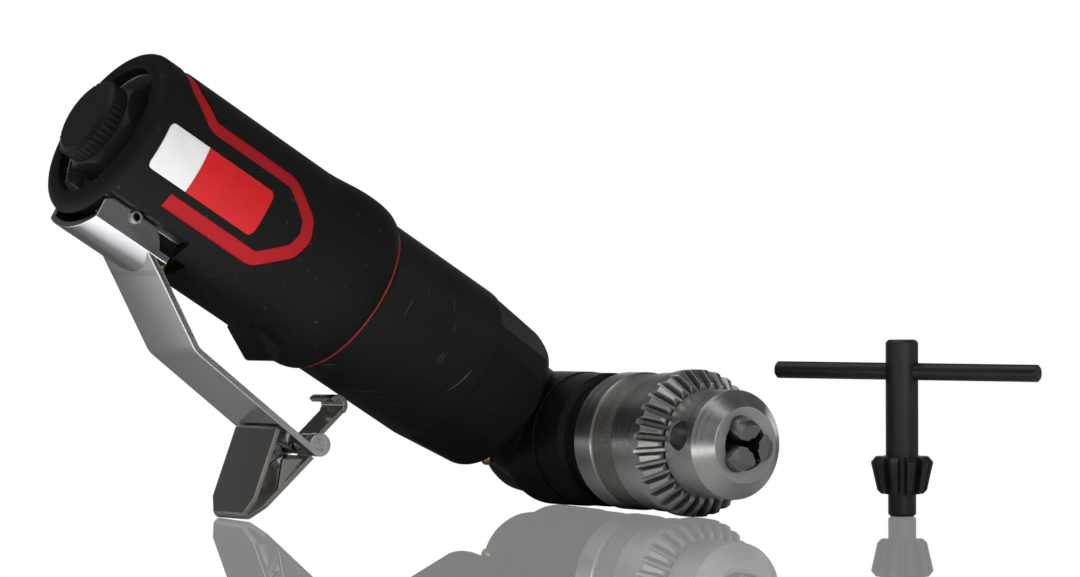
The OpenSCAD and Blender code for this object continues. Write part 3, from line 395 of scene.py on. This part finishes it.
def add_mesh(name, vertices, faces, material):
    mesh = bpy.data.meshes.new(name)
    mesh.from_pydata(vertices, [], faces)
    mesh.validate()
    mesh.update()
    mesh.materials.append(material)
    return add_object(name, mesh)


# The plain label on the grip's side: a white field and a red field, by place along the handle, and the
# turns of its lower and upper edge about the handle, from +Y towards +Z
GRIP_R = 20.3 * MM
LABEL_FRONT, LABEL_SPLIT, LABEL_REAR = 101.7 * MM, 120.4 * MM, 131.1 * MM
LABEL_LOW, LABEL_HIGH = math.radians(-21.0), math.radians(10.5)
LABEL_LIFT = 0.02 * MM
LABEL_THICK = 0.2 * MM
LABEL_CORNER_R = 1.2 * MM
LABEL_COLUMNS, LABEL_ROWS = 28, 18


def label_field(name, x_from, x_to, round_front, round_rear, material):
    """A thin closed sheet bent around the grip, with rounded corners at one end or both."""
    columns, rows = LABEL_COLUMNS, LABEL_ROWS
    width = x_to - x_from
    height = GRIP_R * (LABEL_HIGH - LABEL_LOW)
    flat = []
    for i in range(columns + 1):
        x = width * i / columns
        trim = 0.0
        for rounded, distance in ((round_front, x), (round_rear, width - x)):
            if rounded and distance < LABEL_CORNER_R:
                reach = max(LABEL_CORNER_R**2 - (LABEL_CORNER_R - distance) ** 2, 0.0)
                trim = LABEL_CORNER_R - math.sqrt(reach)
        flat += [(x, trim + (height - 2 * trim) * j / rows) for j in range(rows + 1)]
    vertices = []
    for level in (0.0, LABEL_THICK):
        r = GRIP_R + LABEL_LIFT + level
        for x, v in flat:
            turn = LABEL_LOW + v / GRIP_R
            vertices.append(TOOL @ Vector((x_from + x, r * math.cos(turn), r * math.sin(turn))))

    def at(i, j, level):
        return level * len(flat) + i * (rows + 1) + j

    faces = []
    for i in range(columns):
        for j in range(rows):
            faces.append((at(i, j, 1), at(i, j + 1, 1), at(i + 1, j + 1, 1), at(i + 1, j, 1)))
            faces.append((at(i, j, 0), at(i + 1, j, 0), at(i + 1, j + 1, 0), at(i, j + 1, 0)))
    rim = [(i, 0) for i in range(columns + 1)]
    rim += [(columns, j) for j in range(1, rows + 1)]
    rim += [(i, rows) for i in range(columns - 1, -1, -1)]
    rim += [(0, j) for j in range(rows - 1, 0, -1)]
    for (a, b), (c, d) in zip(rim, rim[1:] + rim[:1]):
        faces.append((at(a, b, 0), at(a, b, 1), at(c, d, 1), at(c, d, 0)))
    piece = add_mesh(name, vertices, faces, material)
    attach(piece, "handle")


label_white = moulded("label_white", colour=(0.74, 0.74, 0.735), light=(0.8, 0.8, 0.795), rough=0.3)
label_red = moulded("label_red", colour=(0.54, 0.012, 0.016), light=(0.6, 0.014, 0.018), rough=0.35)
label_field("label_white_field", LABEL_SPLIT, LABEL_REAR, False, True, label_white)
label_field("label_red_field", LABEL_FRONT, LABEL_SPLIT, True, False, label_red)


# The lever's strip carried up to its hood: the flat sheet ends where it meets the hood's round outside
HOOD_R = 23.0 * MM
STRIP_TOP = Vector((113.861, 0.0, -22.9)) * MM
STRIP_SLOPE = math.radians(31.06)
STRIP_HALF = 10.48 * MM
RUN_OUT_OVERLAP = 2.5 * MM
RUN_OUT_SUNK = 0.6 * MM
RUN_OUT_THICK = 1.2 * MM
RUN_OUT_LIFT = 0.04 * MM
RUN_OUT_COLUMNS = 48


def hood_run_out(name):
    """A sheet flush with the strip, which dips under the strip's face in front and into the hood behind."""
    up = Vector((math.cos(STRIP_SLOPE), 0.0, math.sin(STRIP_SLOPE)))
    out = Vector((math.sin(STRIP_SLOPE), 0.0, -math.cos(STRIP_SLOPE)))
    vertices = []
    for i in range(RUN_OUT_COLUMNS + 1):
        y = STRIP_HALF * (2.0 * i / RUN_OUT_COLUMNS - 1.0)
        meets = (-math.sqrt(HOOD_R**2 - y**2) - STRIP_TOP.z) / math.sin(STRIP_SLOPE)
        rear = max(meets, 0.0) + RUN_OUT_SUNK
        face = [(-RUN_OUT_OVERLAP, -RUN_OUT_LIFT), (0.0, RUN_OUT_LIFT), (rear, RUN_OUT_LIFT)]
        back = [(along, -RUN_OUT_THICK) for along, height in reversed(face)]
        for along, height in face + back:
            vertices.append(TOOL @ (STRIP_TOP + up * along + out * height + Vector((0.0, y, 0.0))))
    ring = len(vertices) // (RUN_OUT_COLUMNS + 1)
    last = RUN_OUT_COLUMNS * ring
    faces = [tuple(range(ring)), tuple(range(last + ring - 1, last - 1, -1))]
    for i in range(0, last, ring):
        for k in range(ring):
            n = (k + 1) % ring
            faces.append((i + k, i + ring + k, i + ring + n, i + n))
    piece = add_mesh(name, vertices, faces, LOOKS["plated_sheet"])
    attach(piece, "lever")


hood_run_out("lever_hood_run_out")


# Camera, at the photo's viewing angle
CAMERA_PLACE = Vector((-502.31, -768.35, 64.76)) * MM
CAMERA_TURN = [math.radians(a) for a in (89.1262, 0.195, -33.3077)]

camera = add_object("camera", bpy.data.cameras.new("camera"))
camera.location = CAMERA_PLACE
camera.rotation_euler = CAMERA_TURN
camera.data.lens = 140.0
camera.data.sensor_width = 36.0
camera.data.clip_start = 0.05
bpy.context.scene.camera = camera


# Floor: a polished white sheet to the camera, which runs into a white background. To the drill it is a
# matt card with a painted shadow, darker towards the back and paler towards the front, and a band on the
# left that glows as a painted light, lights the lever from below and shows in it as a reflection.
FLOOR_HALF = 6.0
FLOOR_DROP = 0.05 * MM
MIRROR_SHARE = 0.79
FRONTWARD = (-0.5, -0.866, 0.0)
LEFTWARD = (-0.9, -0.43, 0.0)


def floor_look():
    s = Look("floor")
    point = s.point()
    mirror = s.add("ShaderNodeBsdfGlossy", Color=WHITE, Roughness=0.0)
    glow = s.add("ShaderNodeEmission", Color=WHITE, Strength=1.0)
    seen = s.blend(MIRROR_SHARE, glow.outputs[0], mirror.outputs[0])
    # Painted shadow: the card is darker towards the back, where the drill would shade it, and paler towards
    # the front.
    card = s.add("ShaderNodeBsdfDiffuse", Color=s.span(s.dot(point, FRONTWARD), -0.1, 0.02, 0.25, 0.95))
    leftward = s.dot(point, LEFTWARD)
    # Painted light: a band on the left of the floor glows, though it is no lamp. It lights the lever from
    # below and shows in it as a reflection.
    near_edge = s.span(leftward, 0.03, 0.075, 0.0, 1.85)
    far_edge = s.span(leftward, 0.12, 0.18, 1.0, 0.3)
    painted_glow_band = s.add("ShaderNodeEmission", Color=WHITE, Strength=s.math("MULTIPLY", near_edge, far_edge))
    card_and_painted_glow = s.add("ShaderNodeAddShader")
    s.put(card_and_painted_glow.inputs[0], card.outputs[0])
    s.put(card_and_painted_glow.inputs[1], painted_glow_band.outputs[0])
    camera_ray = s.add("ShaderNodeLightPath").outputs["Is Camera Ray"]
    return s.finish(s.blend(camera_ray, card_and_painted_glow.outputs[0], seen))


floor_corners = [
    (x * FLOOR_HALF, y * FLOOR_HALF, -FLOOR_DROP) for x, y in ((-1, -1), (1, -1), (1, 1), (-1, 1))
]
floor = add_mesh("floor", floor_corners, [(0, 1, 2, 3)], floor_look())


# World: white to the camera, in the floor's mirror and along the horizon behind the drill, dim elsewhere
BEHIND = (0.5487, 0.836, 0.0)
DIM = 0.06


def studio_world():
    world = bpy.data.worlds.new("studio")
    world.use_nodes = True
    w = Nodes(world.node_tree)
    direction = w.add("ShaderNodeTexCoord").outputs["Generated"]
    low = w.span(w.parts(direction)["Z"], 0.12, 0.4, 1.0, 0.0)
    behind = w.span(w.dot(direction, BEHIND), 0.45, 0.8, 0.0, 1.0)
    path = w.add("ShaderNodeLightPath").outputs
    plain = w.math("MAXIMUM", path["Is Camera Ray"], path["Is Singular Ray"])
    white = w.math("MAXIMUM", w.math("MULTIPLY", low, behind), plain)
    background = w.add("ShaderNodeBackground", Color=WHITE, Strength=w.span(white, 0.0, 1.0, DIM, 1.0))
    w.add("ShaderNodeOutputWorld", Surface=background.outputs[0])
    return world


bpy.context.scene.world = studio_world()


# Soft studio lights: bearing from +Y towards +X and height in degrees, distance, width and height of the
# lamp in metres, and power. The camera stands at a bearing of 213 degrees.
LIGHTS = {
    "left": (290, 25, 1.1, 1.0, 0.8, 0.3),
    "front": (190, 18, 1.2, 0.9, 0.6, 4.3),
    "top": (300, 75, 1.0, 1.0, 0.9, 3.6),
    "right": (125, 25, 1.1, 0.5, 0.9, 1.7),
}
LIGHT_AIM = Vector((0.0, 0.0, 0.04))


def softbox(name, bearing, rise, distance, width, tall, power):
    lamp = bpy.data.lights.new(name, "AREA")
    lamp.shape = "RECTANGLE"
    lamp.size = width
    lamp.size_y = tall
    lamp.energy = power
    light = add_object(name, lamp)
    a = math.radians(bearing)
    e = math.radians(rise)
    away = Vector((math.cos(e) * math.sin(a), math.cos(e) * math.cos(a), math.sin(e)))
    light.location = LIGHT_AIM + away * distance
    light.rotation_euler = (-away).to_track_quat("-Z", "Y").to_euler()


for name, settings in LIGHTS.items():
    softbox(name, *settings)

bpy.context.scene.view_settings.view_transform = "Standard"
